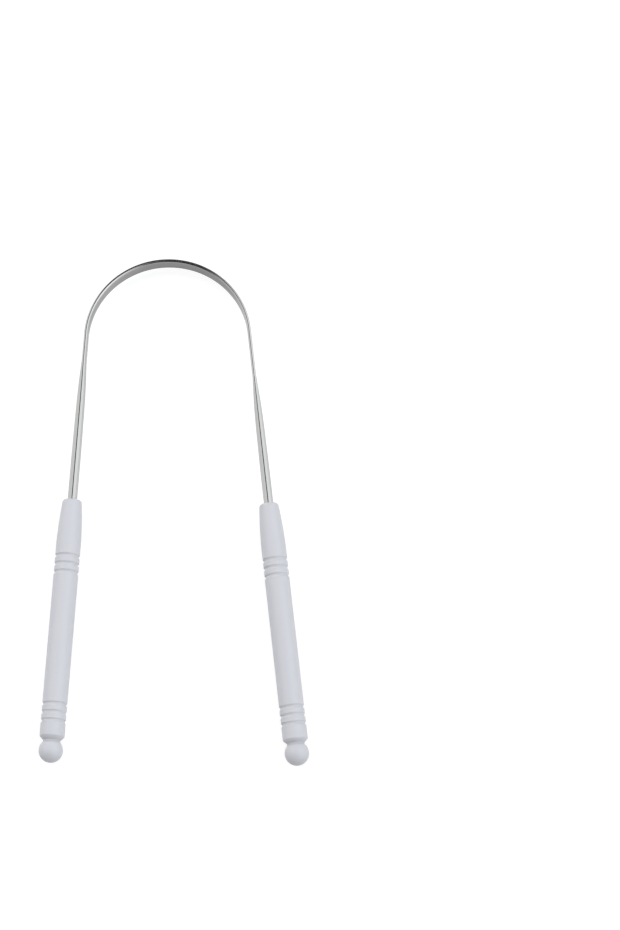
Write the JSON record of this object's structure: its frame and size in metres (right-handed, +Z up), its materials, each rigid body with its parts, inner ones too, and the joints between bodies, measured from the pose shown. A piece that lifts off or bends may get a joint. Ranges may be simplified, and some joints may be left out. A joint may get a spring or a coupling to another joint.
{
  "type": "tongue scraper",
  "caption": "U-shaped tongue scraper: a round steel rod pressed flat over its bend into a blade, with a turned ball-ended handle on each leg.",
  "frame": {"origin": "on the table that the part lies on, under the middle of its whole length and width", "axes": "+Z up from the table, square to the flat plane of the U; +Y along the length, from the ball ends to the bend; +X across, to the right leg when the bend is ahead"},
  "size_m": [0.078, 0.1554, 0.0073],
  "materials": {
    "polished_steel": "polished stainless steel, drawn and pressed, with faint lines along the rod",
    "white_handle": "cool white moulded plastic, satin"
  },
  "bodies": {
    "root": {"scraper_bow": "polished_steel", "left_handle": "white_handle", "right_handle": "white_handle"}
  },
  "joints": []
}
